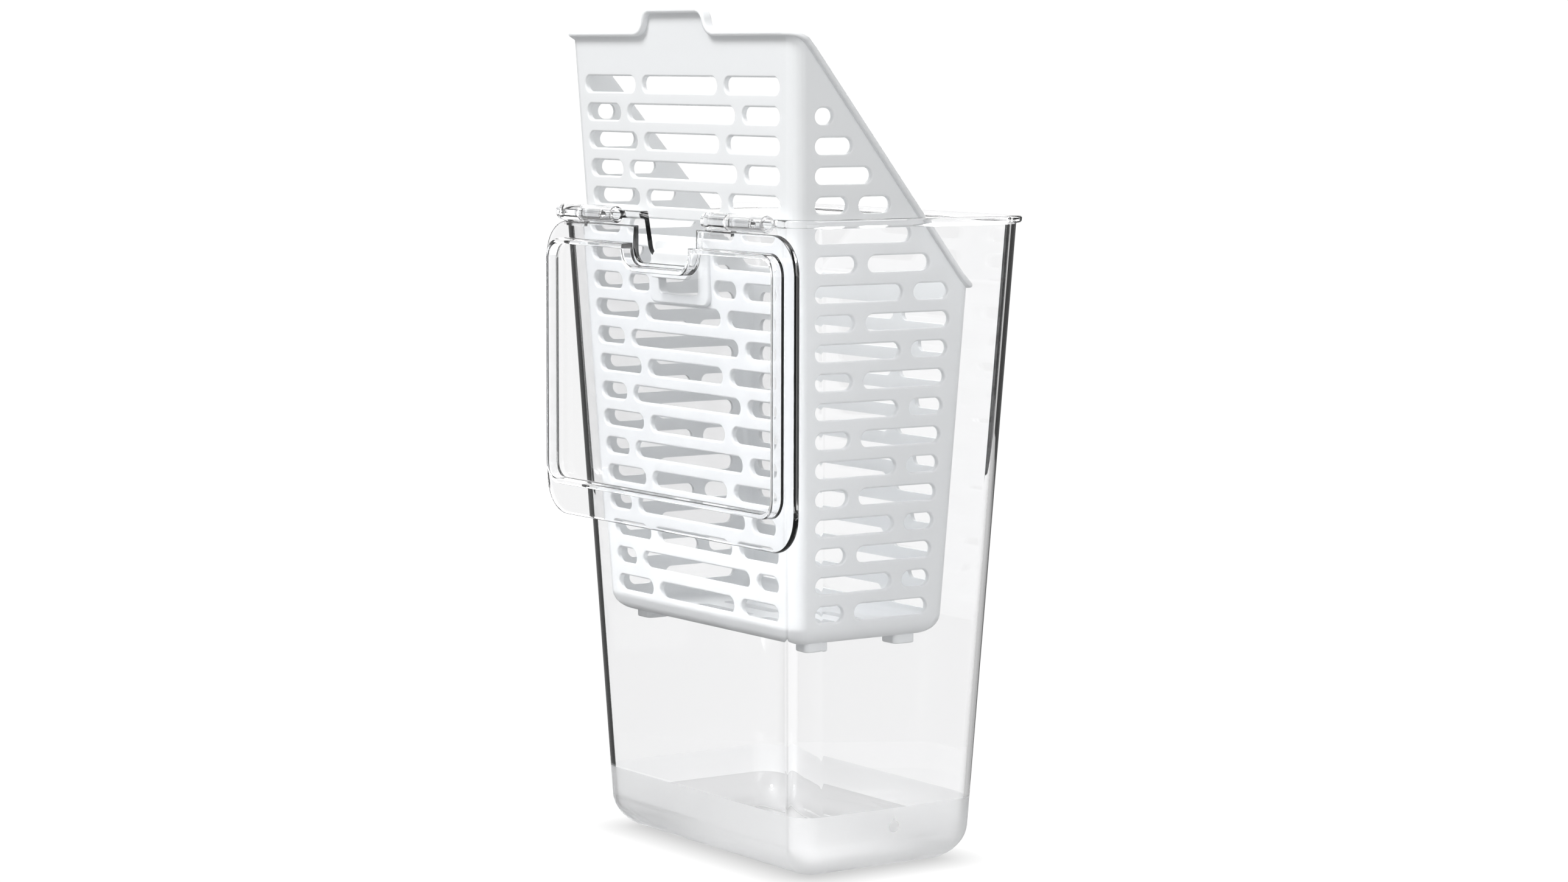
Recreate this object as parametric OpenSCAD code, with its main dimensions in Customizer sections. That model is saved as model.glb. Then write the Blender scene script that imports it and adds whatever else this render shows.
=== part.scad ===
// Herb keeper: a clear tapered container, a lid that hangs open on its hinge wall,
// and a slotted basket that is raised and hooked on the container's notch.
// Millimetres, +Z up. The origin is the middle of the container's underside,
// the hinge wall faces -Y.

/* [Container] */
// Height from the table to the top of the rim
container_height = 240; // [200:1:280]
// Width of the walls at the rim, along the hinge
rim_width = 161; // [150:0.5:175]
// Depth of the walls at the rim
rim_depth = 101.5; // [94:0.5:112]
// Width between the wall planes at the table
base_width = 133; // [124:0.5:142]
// Depth between the wall planes at the table
base_depth = 79; // [74:0.5:86]
// Thickness of the clear walls
container_wall = 2; // [1.6:0.1:2.4]
// Thickness of the container's floor
container_floor = 2.5; // [2:0.1:4]
// Radius of the upright corners
corner_radius = 10; // [8:0.5:13]
// Radius between the walls and the floor
base_radius = 13; // [9:0.5:15]
// How far the rim lip stands out from the walls
lip_out = 2; // [1.4:0.1:2.4]
// Height of the rim lip
lip_height = 2.8; // [2.4:0.1:4]

/* [Notch] */
// Width of the finger notch at the rim
notch_top_width = 42; // [38:0.5:46]
// Width of the finger notch above its rounded corners
notch_low_width = 37.5; // [34:0.5:42]
// Depth of the finger notch below the rim
notch_depth = 16.6; // [13:0.1:20]
// Radius of the notch's two lower corners
notch_radius = 5; // [3:0.5:7]

/* [Hinge] */
// Diameter of the barrels and knuckles
barrel_diameter = 6.3; // [5.6:0.1:6.6]
// Diameter of the pins
pin_diameter = 3.4; // [2.8:0.1:3.8]
// Gap between a pin and its bore, all round
pin_clearance = 0.05; // [0.03:0.01:0.09]
// Gap between a knuckle and the rim lip
hinge_clearance = 0.9; // [0.7:0.1:1.6]
// How far the hinge axis lies below the rim
hinge_drop = 1.55; // [1.2:0.05:1.6]
// Length of each lid knuckle
knuckle_length = 16; // [12:0.5:18]
// Length of each container barrel
barrel_length = 23; // [18:0.5:24]
// Gap between a knuckle and the barrel beside it
knuckle_gap = 0.5; // [0.3:0.1:1]
// Distance from the middle of the wall to the outer end of each hinge
hinge_reach = 69.5; // [66:0.5:71]
// Length of each pin inside its barrel
pin_length = 15; // [10:0.5:17]

/* [Lid] */
// Thickness of the lid plate
lid_thickness = 2.3; // [2:0.1:2.6]
// How far the lid reaches past the rim lip at each side
lid_overhang = 1.6; // [0.5:0.1:3]
// How far the lid reaches past the rim lip at the free edge, for the thumb
thumb_reach = 6.8; // [4:0.1:9]
// Radius of the plate's corners
lid_corner_radius = 14; // [10:0.5:16]
// Gap between the closed lid and the rim
lid_seat_gap = 0.2; // [0.1:0.05:0.4]
// Height of the skirt under the plate
skirt_height = 4.5; // [3:0.1:5.5]
// Thickness of the skirt
skirt_wall = 2; // [1.4:0.1:2.4]
// Gap between the closed lid's skirt and the container walls
skirt_clearance = 1.2; // [0.8:0.1:1.8]
// Setback of the skirt from the container's hinge wall
skirt_setback = 2.2; // [1.2:0.1:3]
// Width of the lid's finger notch
lid_notch_width = 41; // [38:0.5:46]
// Depth of the lid's finger notch from the plate's hinge edge
lid_notch_depth = 13.5; // [11:0.1:17]
// How far the lid is open, from closed on the rim
lid_open = 270; // [250:1:270]

/* [Basket] */
// Height of the basket from its underside to its front flange
basket_height = 220.7; // [190:0.1:225]
// Height of the basket's low back wall
basket_back_height = 129.5; // [100:0.5:160]
// Thickness of the basket's walls and floor
basket_wall = 2; // [1.6:0.1:2.4]
// Radius of the basket's upright corners
basket_corner_radius = 5.5; // [4:0.5:7]
// Radius between the basket's walls and floor
basket_base_radius = 8; // [5:0.5:9]
// Gap between the seated basket and the container at each side
basket_side_gap = 2.5; // [2.5:0.1:5]
// Front and back gaps together between the seated basket and the container
basket_depth_gap = 9.2; // [9.2:0.1:14]
// How far the flange stands out from the basket's walls
flange_out = 2.2; // [1.6:0.1:2.2]
// Thickness of the flange
flange_thickness = 1.9; // [1.5:0.1:2.5]
// Radius of the bend from the front edge into the slope
rim_bend = 8; // [5:0.5:9]
// Height of the pull tab above the flange
tab_height = 8.4; // [6:0.1:10]
// Width of the pull tab at half its height
tab_width = 42; // [36:0.5:48]
// Width of each S-shaped shoulder of the tab
tab_shoulder = 10; // [9:0.5:12]
// Height of the feet
foot_height = 3.3; // [2:0.1:5]
// Size of each square foot
foot_size = 9.5; // [7:0.5:12]
// Distance of the feet from the middle, along the width
foot_reach_x = 52; // [44:0.5:54]
// Distance of the feet from the middle, along the depth
foot_reach_y = 19.5; // [14:0.5:21]

/* [Slots] */
// Number of slot rows up the front wall
slot_rows = 19; // [15:1:19]
// Distance from row to row
slot_pitch = 10.55; // [10:0.05:10.6]
// Height of a slot
slot_height = 6.4; // [5:0.1:7]
// Height of the lowest row's middle above the basket's underside
first_row = 11.2; // [10.5:0.1:14]
// Distance from a wall's corner to the nearest slot
slot_margin = 9.1; // [8:0.1:12]
// Width of the upright webs between slots
slot_web = 4.4; // [3.4:0.1:6]
// Half length of the middle slot in odd rows
middle_slot_odd = 25.2; // [20:0.1:28]
// Half length of the middle slot in even rows
middle_slot_even = 36.2; // [32:0.1:40]
// Distance of the side walls' webs from the middle, swapped from row to row
side_web_shift = 10.4; // [6:0.1:14]
// Shortest slot
slot_shortest = 11; // [8:0.5:14]
// Distance between the flange and a slot's end under the slope
slope_margin = 8; // [7:0.5:12]
// Number of drain slots across the floor
floor_slots = 4; // [2:1:5]
// Length of a drain slot
floor_slot_length = 36; // [20:1:40]

/* [Hook] */
// Height of the hook's seat above the basket's underside
hook_height = 137.8; // [125:0.1:150]
// Width of the hook
hook_width = 26; // [20:0.5:30]
// Thickness of the hook's shelf
hook_shelf = 3.1; // [2.5:0.1:4]
// Thickness of the hook's leg
hook_leg = 1.9; // [1.6:0.1:2]
// How far the leg reaches down in front of the container's wall
hook_reach = 7.6; // [5:0.1:10]
// Radius of the hook's corners, seen from the front
hook_corner = 2.5; // [1:0.1:3.5]
// Gap between the hook's leg and the container's wall
hook_clearance = 0.25; // [0.2:0.05:0.35]
// Gap under the hook's shelf where it sits on the notch
hook_seat_gap = 0.1; // [0.05:0.05:0.2]
// Gap between the raised basket's front wall and the container's wall
hang_gap = 2.1; // [2:0.1:3]
// Thickness of the boss plate around the hook
boss_thickness = 1.4; // [1:0.1:1.6]
// Width of the boss plate
boss_width = 40; // [36:0.5:46]
// Height of the boss plate above the hook's seat
boss_above = 6.2; // [5:0.1:6.5]
// Depth of the boss plate below the hook's seat
boss_below = 17.2; // [15:0.1:20]
// Distance from the boss plate to the slots beside it
boss_web = 1.6; // [1:0.1:3]
// Depth of the window under the hook, below the hook's seat
window_depth = 13.4; // [11:0.1:15]

/* [Hidden] */

// Sides of round cuts and pins, and steps in one corner of a loft
round_sides = 64;
corner_steps = 8;
// How far a cutter passes the faces that it cuts
over = 1;

// Slope of the walls, outward per millimetre of height
slope_x = (rim_width - base_width) / 2 / container_height;
slope_y = (rim_depth - base_depth) / 2 / container_height;
draft_x = atan(slope_x);
draft_y = atan(slope_y);

// Half width and half depth of the container's inside at a height
function inside_x(z) = base_width / 2 + slope_x * z - container_wall;
function inside_y(z) = base_depth / 2 + slope_y * z - container_wall;

// Hinge
barrel_radius = barrel_diameter / 2;
hinge_z = container_height - hinge_drop;
hinge_y = -rim_depth / 2 - lip_out - hinge_clearance - barrel_radius;
hinge_length = knuckle_length + knuckle_gap + barrel_length;
hinge_starts = [-hinge_reach, hinge_reach - hinge_length];

// Lid, measured from the hinge axis in its closed place
plate_low = hinge_drop + lid_seat_gap;
plate_top = plate_low + lid_thickness;
plate_start = barrel_radius + 0.5;
plate_end = rim_depth / 2 + lip_out + thumb_reach - hinge_y;
plate_width = rim_width + 2 * (lip_out + lid_overhang);
skirt_start = -inside_y(container_height) + skirt_setback - hinge_y;
skirt_end = inside_y(container_height - skirt_height) - skirt_clearance - hinge_y;
skirt_width = 2 * (inside_x(container_height - skirt_height) - skirt_clearance);
skirt_radius = corner_radius - container_wall;

// Notch in the container's wall
notch_floor = container_height - notch_depth;

// Basket, measured from the middle of its underside
seat_height = container_floor + foot_height;
basket_base_width = 2 * (inside_x(seat_height) - basket_side_gap);
basket_base_depth = 2 * inside_y(seat_height) - basket_depth_gap;
raised_z = notch_floor + hook_seat_gap - hook_height;
raised_y = hang_gap - inside_y(raised_z) + basket_base_depth / 2;
function basket_x(h) = basket_base_width / 2 + slope_x * h;
function basket_y(h) = basket_base_depth / 2 + slope_y * h;

// The rim slopes from the front wall's top to the low back wall's top
slope_front_y = -basket_y(basket_height) + basket_wall + flange_thickness;
slope_back_y = basket_y(basket_back_height) - basket_wall;
rim_slope = (basket_height - basket_back_height) / (slope_back_y - slope_front_y);
function slope_y_at(h) = slope_front_y + (basket_height - h) / rim_slope;
tab_radius = (pow(tab_shoulder / 2, 2) + pow(tab_height / 2, 2)) / tab_height;
back_rows = floor((basket_back_height - flange_thickness - slot_height - first_row) / slot_pitch) + 1;

// Hook, in the basket's place: the faces of the container's wall at the hook
hook_wall_y = -inside_y(notch_floor) - container_wall - raised_y;
leg_back_y = hook_wall_y - hook_clearance;
leg_front_y = leg_back_y - hook_leg;
boss_y = -basket_y(hook_height) - boss_thickness;
boss_height = boss_above + boss_below;
boss_middle = hook_height - boss_below + boss_height / 2;

// A rectangle with round corners, centred
module rounded(w, d, r) {
    square([w - 2 * r, d], center = true);
    square([w, d - 2 * r], center = true);
    for (x = [-1, 1], y = [-1, 1])
        translate([x * (w / 2 - r), y * (d / 2 - r)]) circle(r, $fn = round_sides);
}

// The points of one ring of a loft: a rectangle with round corners at a height
function loft_ring(w, d, r, z) = [
    for (q = [0 : 3], k = [0 : corner_steps])
        let (a = 90 * (q + k / corner_steps), sx = q % 3 == 0 ? 1 : -1, sy = q < 2 ? 1 : -1)
            [sx * (w / 2 - r) + r * cos(a), sy * (d / 2 - r) + r * sin(a), z]];

// A solid through rings of the same number of points, from the lowest to the highest
module loft(rings) {
    n = len(rings[0]);
    last = len(rings) - 1;
    polyhedron(
        points = [for (one = rings, p = one) p],
        faces = concat(
            [[for (i = [0 : n - 1]) i], [for (i = [n - 1 : -1 : 0]) last * n + i]],
            [for (j = [0 : last - 1], i = [0 : n - 1])
                [j * n + i, j * n + n + i, j * n + n + (i + 1) % n, j * n + (i + 1) % n]]));
}

// A tapered tub with round corners and a round base, from z = low to z = high.
// The wall planes are w by d at z = 0.
module tub(w, d, corner, base, low, high) {
    least = min(corner, 3);
    loft(concat(
        [for (a = [0 : 15 : 90])
            let (z = low + base * (1 - cos(a)), inset = base * (1 - sin(a)),
                 r = corner - (corner - least) * inset / base)
                loft_ring(w + 2 * (slope_x * z - inset), d + 2 * (slope_y * z - inset), r, z)],
        [loft_ring(w + 2 * slope_x * high, d + 2 * slope_y * high, corner, high)]));
}

// A slot with round ends from a to b, middle at height h
module slot(a, b, h, size = slot_height) {
    r = size / 2;
    if (b - a > size) translate([a + r, h - r]) square([b - a - size, size]);
    for (x = [a + r, max(b - r, a + r)]) translate([x, h]) circle(r, $fn = round_sides);
}

// The container's inside
module container_inside() {
    inner = container_wall;
    tub(base_width - 2 * inner, base_depth - 2 * inner, corner_radius - inner, base_radius - inner,
        container_floor, container_height + over);
}

// The finger notch, drawn on the wall from its floor up
module notch_shape() {
    low = notch_low_width / 2;
    difference() {
        polygon([[-low, 0], [low, 0], [low, notch_radius], [notch_top_width / 2, notch_depth],
                 [notch_top_width / 2, notch_depth + over], [-notch_top_width / 2, notch_depth + over],
                 [-notch_top_width / 2, notch_depth], [-low, notch_radius]]);
        for (s = [-1, 1]) difference() {
            translate([s * (low - notch_radius / 2), notch_radius / 2])
                square(notch_radius, center = true);
            translate([s * (low - notch_radius), notch_radius]) circle(notch_radius, $fn = round_sides);
        }
    }
}

// The rim lip, with its edges eased
module lip() {
    ease = lip_height / 5;
    loft([for (k = [[0, ease], [ease, 0], [lip_height - ease, 0], [lip_height, ease]])
        loft_ring(rim_width + 2 * (lip_out - k[1]), rim_depth + 2 * (lip_out - k[1]),
                  corner_radius + lip_out - k[1], container_height - lip_height + k[0])]);
}

// The barrels and the webs that carry them from the rim lip
module barrels() {
    for (start = hinge_starts) translate([start + knuckle_length + knuckle_gap, 0, 0]) {
        translate([0, hinge_y, hinge_z]) rotate([0, 90, 0])
            cylinder(h = barrel_length, r = barrel_radius, $fn = round_sides);
        translate([0, hinge_y, container_height - lip_height])
            cube([barrel_length, -rim_depth / 2 - hinge_y, lip_height]);
    }
}

module container() {
    color([0.86, 0.9, 0.92, 0.4]) difference() {
        union() {
            tub(base_width, base_depth, corner_radius, base_radius, 0, container_height);
            lip();
            barrels();
        }
        container_inside();
        translate([0, 0, notch_floor]) rotate([90, 0, 0]) translate([0, 0, rim_depth / 4])
            linear_extrude(rim_depth) notch_shape();
        for (start = hinge_starts)
            translate([start + knuckle_length, hinge_y, hinge_z]) rotate([0, 90, 0])
                cylinder(h = hinge_length, r = pin_diameter / 2 + pin_clearance, $fn = round_sides);
    }
}

// The lid's finger notch, seen from above, grown by an amount
module lid_notch(grow = 0) {
    half = lid_notch_width / 2 + grow;
    r = notch_radius + grow;
    end = plate_start + lid_notch_depth + grow;
    translate([-half, -over]) square([2 * half, end - r + over]);
    translate([-half + r, -over]) square([2 * (half - r), end + over]);
    for (s = [-1, 1]) translate([s * (half - r), end - r]) circle(r, $fn = round_sides);
}

// The area inside the skirt's outer face, drawn in by an amount
module skirt_area(inset = 0) {
    difference() {
        translate([0, (skirt_start + skirt_end) / 2])
            rounded(skirt_width - 2 * inset, skirt_end - skirt_start - 2 * inset, skirt_radius - inset);
        lid_notch(inset);
    }
}

// One knuckle with a round outer end and its pin, lying along +X
module knuckle() {
    ease = barrel_radius / 2;
    tip = pin_diameter / 4;
    rotate([0, 90, 0]) rotate_extrude($fn = round_sides) {
        translate([0, ease]) square([barrel_radius, knuckle_length - ease]);
        square([barrel_radius - ease, ease]);
        intersection() {
            translate([barrel_radius - ease, ease]) circle(ease, $fn = round_sides);
            square(barrel_radius);
        }
        square([pin_diameter / 2, knuckle_length + knuckle_gap + pin_length - tip]);
        square([pin_diameter / 2 - tip, knuckle_length + knuckle_gap + pin_length]);
        intersection() {
            translate([pin_diameter / 2 - tip, knuckle_length + knuckle_gap + pin_length - tip])
                circle(tip, $fn = round_sides);
            square([pin_diameter, hinge_length]);
        }
    }
}

module lid() {
    web_low = 0.3;
    color([0.86, 0.9, 0.92, 0.4])
    translate([0, hinge_y, hinge_z]) rotate([lid_open, 0, 0]) union() {
        translate([0, 0, plate_low]) linear_extrude(lid_thickness) difference() {
            translate([0, (plate_start + plate_end) / 2])
                rounded(plate_width, plate_end - plate_start, lid_corner_radius);
            lid_notch();
        }
        translate([0, 0, plate_low - skirt_height]) linear_extrude(skirt_height) difference() {
            skirt_area();
            skirt_area(skirt_wall);
        }
        for (start = hinge_starts) translate([start, 0, 0]) {
            knuckle();
            translate([barrel_radius / 2, 0, web_low])
                cube([knuckle_length - barrel_radius / 2, plate_start, barrel_radius - 2 * web_low]);
            translate([barrel_radius / 2, plate_start - 2 * web_low, plate_low])
                cube([knuckle_length - barrel_radius / 2, 2, barrel_radius - web_low - plate_low]);
        }
    }
}

// The front wall's top edge with the tab, drawn in by an amount, from below
module front_profile(inset = 0) {
    top = basket_height - inset;
    outer = tab_width / 2 + tab_shoulder / 2;
    inner = tab_width / 2 - tab_shoulder / 2;
    turn = basket_height + tab_height / 2;
    reach = basket_x(basket_height) + flange_out + over;
    translate([-reach, -foot_height]) square([2 * reach, top + foot_height]);
    difference() {
        translate([-outer, top - over]) square([2 * outer, turn - top + over]);
        for (s = [-1, 1]) translate([s * outer, basket_height + tab_radius])
            circle(tab_radius + inset, $fn = round_sides);
    }
    translate([-inner, top - over]) square([2 * inner, tab_height + over]);
    for (s = [-1, 1]) translate([s * inner, basket_height + tab_height - tab_radius])
        circle(tab_radius - inset, $fn = round_sides);
}

// The side walls' sloping top edge, drawn in by an amount, from below
module side_profile(inset = 0) {
    drop = inset * sqrt(1 + rim_slope * rim_slope);
    lean = atan(rim_slope);
    bend = rim_bend - inset;
    run = bend * tan(lean / 2);
    back = basket_back_height - inset;
    top = basket_height - inset;
    start = slope_y_at(top + drop);
    reach = basket_y(basket_height) + flange_out + rim_bend;
    polygon([[-reach, -foot_height], [-reach, top], [start - run, top],
             [start + run * cos(lean), top - run * sin(lean)],
             [slope_y_at(back + drop), back], [reach, back], [reach, -foot_height]]);
    translate([start - run, top - bend]) circle(bend, $fn = round_sides);
}

// The space below the rim, drawn in by an amount. The tab stands above the side walls' edge.
module below_rim(inset = 0) {
    long = 2 * rim_width;
    high = basket_height + 2 * tab_height;
    tab = tab_width + tab_shoulder;
    intersection() {
        translate([0, long / 2, 0]) rotate([90, 0, 0]) linear_extrude(long) front_profile(inset);
        union() {
            translate([-long / 2, 0, 0]) rotate([90, 0, 90]) linear_extrude(long) side_profile(inset);
            translate([-tab / 2, -rim_width, -foot_height])
                cube([tab, rim_width + slope_front_y, high + foot_height]);
        }
    }
}

module basket_inside() {
    tub(basket_base_width - 2 * basket_wall, basket_base_depth - 2 * basket_wall,
        basket_corner_radius - basket_wall, basket_base_radius - basket_wall,
        basket_wall, basket_height + 2 * tab_height);
}

// The flange that runs round the rim and over the tab
module flange() {
    difference() {
        intersection() {
            tub(basket_base_width + 2 * flange_out, basket_base_depth + 2 * flange_out,
                basket_corner_radius + flange_out, basket_base_radius, 0, basket_height + 2 * tab_height);
            below_rim();
        }
        below_rim(flange_thickness);
    }
}

// The slots of the front or back wall, on the wall's own plane.
// Rows that meet the boss stop beside it, and a short rest there joins the outer slot.
module front_slots(rows, has_boss) {
    beside = boss_width / 2 + boss_web;
    for (i = [0 : rows - 1]) {
        h = first_row + i * slot_pitch;
        end = basket_x(h) - slot_margin;
        middle = i % 2 == 0 ? middle_slot_odd : middle_slot_even;
        meets = has_boss && abs(h - boss_middle) < (boss_height + slot_height) / 2;
        split = !meets || middle - beside > slot_shortest;
        if (!meets) slot(-middle, middle, h);
        for (s = [0, 1]) mirror([s, 0]) {
            if (meets && split) slot(beside, middle, h);
            slot(split ? middle + slot_web : beside, end, h);
        }
    }
}

// The slots of both side walls, cut short under the sloping rim
module side_slots() {
    for (i = [0 : slot_rows - 2]) {
        h = first_row + i * slot_pitch;
        a = -basket_y(h) + slot_margin;
        b = min(basket_y(h) - slot_margin, slope_y_at(h + slot_height / 2) - slope_margin);
        web = i % 2 == 0 ? min(-side_web_shift, (a + b) / 2) : side_web_shift;
        split = min(web - a, b - web) - slot_web / 2 > slot_shortest;
        slot(a, split ? web - slot_web / 2 : b, h);
        if (split) slot(web + slot_web / 2, b, h);
    }
}

// The drain slots in the floor
module drain_slots() {
    step = 2 * foot_reach_y / (floor_slots - 1);
    for (k = [0 : floor_slots - 1], s = [0, 1])
        mirror([s, 0]) slot(slot_web, slot_web + floor_slot_length, -foot_reach_y + k * step);
}

module slot_cutters() {
    deep = basket_wall + 2 * over;
    for (turn = [0, 1]) rotate([0, 0, 180 * turn])
        translate([0, -basket_base_depth / 2 - over, 0]) rotate([90 + draft_y, 0, 0])
            translate([0, 0, -deep]) linear_extrude(deep)
                front_slots(turn == 0 ? slot_rows : back_rows, turn == 0);
    for (turn = [0, 1]) mirror([turn, 0, 0])
        translate([basket_base_width / 2 + over, 0, 0]) rotate([0, draft_x, 0]) rotate([90, 0, 90])
            translate([0, 0, -deep]) linear_extrude(deep) side_slots();
    translate([0, 0, -over]) linear_extrude(deep) drain_slots();
}

// The boss plate on the front wall, solid back to the wall
module boss() {
    r = 2 * basket_wall;
    translate([0, -basket_y(hook_height) + basket_wall, boss_middle]) rotate([90 + draft_y, 0, 0])
        linear_extrude(basket_wall + boss_thickness) rounded(boss_width, boss_height, r);
}

// The hook: a shelf over the notch and a leg in front of the wall
module hook() {
    top = hook_height + hook_shelf;
    low = hook_height - hook_reach;
    back = boss_y + basket_wall;
    ease = hook_leg;
    intersection() {
        translate([hook_width / 2, 0, 0]) rotate([90, 0, -90]) linear_extrude(hook_width) mirror([1, 0]) {
            translate([leg_front_y + ease, hook_height]) square([back - leg_front_y - ease, hook_shelf]);
            translate([leg_front_y, low]) square([hook_leg, top - low - ease]);
            intersection() {
                translate([leg_front_y + ease, top - ease]) circle(ease, $fn = round_sides);
                translate([leg_front_y, top - ease]) square(ease);
            }
        }
        translate([0, back + over, (top + low) / 2]) rotate([90, 0, 0])
            linear_extrude(back - leg_front_y + 2 * over) rounded(hook_width, top - low, hook_corner);
    }
}

// The window under the hook
module window() {
    translate([0, -basket_y(hook_height) + over + basket_wall, hook_height - window_depth / 2])
        rotate([90, 0, 0]) linear_extrude(2 * (basket_wall + boss_thickness) + over)
            rounded(hook_width, window_depth, basket_wall);
}

module feet() {
    for (x = [-1, 1], y = [-1, 1])
        translate([x * foot_reach_x, y * foot_reach_y, -foot_height])
            linear_extrude(foot_height + basket_wall / 2) rounded(foot_size, foot_size, basket_wall);
}

module basket() {
    color("white") translate([0, raised_y, raised_z]) {
        difference() {
            union() {
                difference() {
                    intersection() {
                        tub(basket_base_width, basket_base_depth, basket_corner_radius, basket_base_radius,
                            0, basket_height + 2 * tab_height);
                        below_rim();
                    }
                    slot_cutters();
                }
                flange();
                boss();
                feet();
            }
            basket_inside();
            window();
        }
        hook();
    }
}

container();
lid();
basket();
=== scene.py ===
import math
from functools import partial

import bmesh
import bpy
from mathutils import Matrix, Vector


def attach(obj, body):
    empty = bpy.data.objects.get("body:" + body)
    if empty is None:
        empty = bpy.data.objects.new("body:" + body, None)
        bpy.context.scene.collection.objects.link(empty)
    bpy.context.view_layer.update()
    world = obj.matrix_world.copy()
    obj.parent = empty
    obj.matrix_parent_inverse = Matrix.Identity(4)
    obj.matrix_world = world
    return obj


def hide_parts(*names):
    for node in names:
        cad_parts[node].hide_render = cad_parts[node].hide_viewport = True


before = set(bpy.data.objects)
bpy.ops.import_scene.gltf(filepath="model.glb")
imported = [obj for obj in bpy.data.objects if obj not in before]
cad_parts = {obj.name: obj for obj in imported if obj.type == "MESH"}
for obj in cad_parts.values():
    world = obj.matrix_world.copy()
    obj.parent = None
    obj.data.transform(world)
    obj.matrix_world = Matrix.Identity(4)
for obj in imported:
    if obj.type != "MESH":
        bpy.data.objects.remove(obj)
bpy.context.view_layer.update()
scene = bpy.context.scene
mm = 0.001  # meshes are built in millimetres and end in metres
sharpAngle = 40  # degrees between two faces past which their edge stays sharp
print("frame loaded:", ", ".join(sorted(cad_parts)))


# Mesh helpers

def ringPoints(width, depth, radius, z, steps):
    # a rectangle with round corners at height z, counter-clockwise from the +X side
    points = []
    for quarter, (sx, sy) in enumerate(((1, 1), (-1, 1), (-1, -1), (1, -1))):
        for k in range(steps + 1):
            a = math.radians(90 * (quarter + k / steps))
            x = sx * (width / 2 - radius) + radius * math.cos(a)
            y = sy * (depth / 2 - radius) + radius * math.sin(a)
            points.append(Vector((x, y, z)))
    return points


def arcPoints(cx, cy, radius, start, end, steps):
    # points on an arc, angles in degrees
    turns = [math.radians(start + (end - start) * k / steps) for k in range(steps + 1)]
    return [(cx + radius * math.cos(a), cy + radius * math.sin(a)) for a in turns]


def loftRings(shape, rings, capped=False, wrap=False, slots=None):
    rows = [[shape.verts.new(p) for p in ring] for ring in rings]
    pairs = list(zip(rows, rows[1:]))
    if wrap:
        pairs.append((rows[-1], rows[0]))
    for n, (low, high) in enumerate(pairs):
        for i in range(len(low)):
            j = (i + 1) % len(low)
            face = shape.faces.new((low[i], low[j], high[j], high[i]))
            face.material_index = slots(n, i) if slots else 0
    if capped:
        shape.faces.new(rows[0][::-1])
        shape.faces.new(rows[-1])


def loftedSolid(rings, wrap=False, slots=None):
    # a closed solid through rings, capped at both ends or joined round to its first ring
    shape = bmesh.new()
    loftRings(shape, rings, not wrap, wrap, slots)
    bmesh.ops.recalc_face_normals(shape, faces=shape.faces)
    return shape


def newObject(name, shape, materials):
    data = bpy.data.meshes.new(name)
    shape.to_mesh(data)
    shape.free()
    for material in materials:
        data.materials.append(material)
    piece = bpy.data.objects.new(name, data)
    scene.collection.objects.link(piece)
    return piece


def bakeModifiers(piece):
    # the evaluated result becomes the piece's own plain mesh
    bpy.context.view_layer.update()
    graph = bpy.context.evaluated_depsgraph_get()
    data = bpy.data.meshes.new_from_object(piece.evaluated_get(graph), depsgraph=graph)
    piece.modifiers.clear()
    old = piece.data
    piece.data = data
    bpy.data.meshes.remove(old)


def combine(piece, shapes, operation, material):
    # joins shapes to the piece, or cuts them from it, one after the other
    for shape in shapes:
        tool = newObject("tool", shape, [material])
        step = piece.modifiers.new("combine", "BOOLEAN")
        step.operation = operation
        step.solver = "MANIFOLD"
        step.object = tool
        bakeModifiers(piece)
        bpy.data.objects.remove(tool)


def finishPiece(piece, place=None):
    # smooth faces with sharp edges, flat faces with their own normals, then into place and to metres
    piece.data.shade_smooth()
    piece.data.set_sharp_from_angle(angle=math.radians(sharpAngle))
    weighted = piece.modifiers.new("weighted", "WEIGHTED_NORMAL")
    weighted.keep_sharp = True
    weighted.weight = 100
    bakeModifiers(piece)
    if place:
        piece.data.transform(place)
    piece.data.transform(Matrix.Scale(mm, 4))
    piece.data.update()
    return piece


def boxShape(low, high):
    shape = bmesh.new()
    bmesh.ops.create_cube(shape, size=1)
    for v in shape.verts:
        v.co = Vector([low[k] if v.co[k] < 0 else high[k] for k in range(3)])
    return shape


# Node helpers

def fillSockets(tree, node, sockets):
    # a socket gets a link from another node's output, or a plain value
    for name, given in sockets.items():
        if isinstance(given, bpy.types.NodeSocket):
            tree.links.new(given, node.inputs[name])
        else:
            node.inputs[name].default_value = given


def addNode(tree, kind, sockets=None, **settings):
    node = tree.nodes.new(kind)
    for name, value in settings.items():
        setattr(node, name, value)
    fillSockets(tree, node, sockets or {})
    return node


def newGroup(name, kind, inputs, outputs):
    # a named socket is a number with its default value, or another type by its name
    tree = bpy.data.node_groups.new(name, kind)
    numbers = {float: "Float", int: "Int"}
    for direction, sockets in (("INPUT", inputs), ("OUTPUT", outputs)):
        for label, given in sockets.items():
            kindName = "NodeSocket" + numbers.get(type(given), str(given))
            socket = tree.interface.new_socket(name=label, in_out=direction, socket_type=kindName)
            if type(given) in numbers:
                socket.default_value = given
    return tree, addNode(tree, "NodeGroupInput").outputs, addNode(tree, "NodeGroupOutput").inputs


def calc(tree, operation, *given):
    return addNode(tree, "ShaderNodeMath", dict(enumerate(given)), operation=operation).outputs[0]


def vectorCalc(tree, operation, *given):
    node = addNode(tree, "ShaderNodeVectorMath", dict(enumerate(given)), operation=operation)
    return node.outputs["Vector" if operation == "NORMALIZE" else "Value"]


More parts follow.
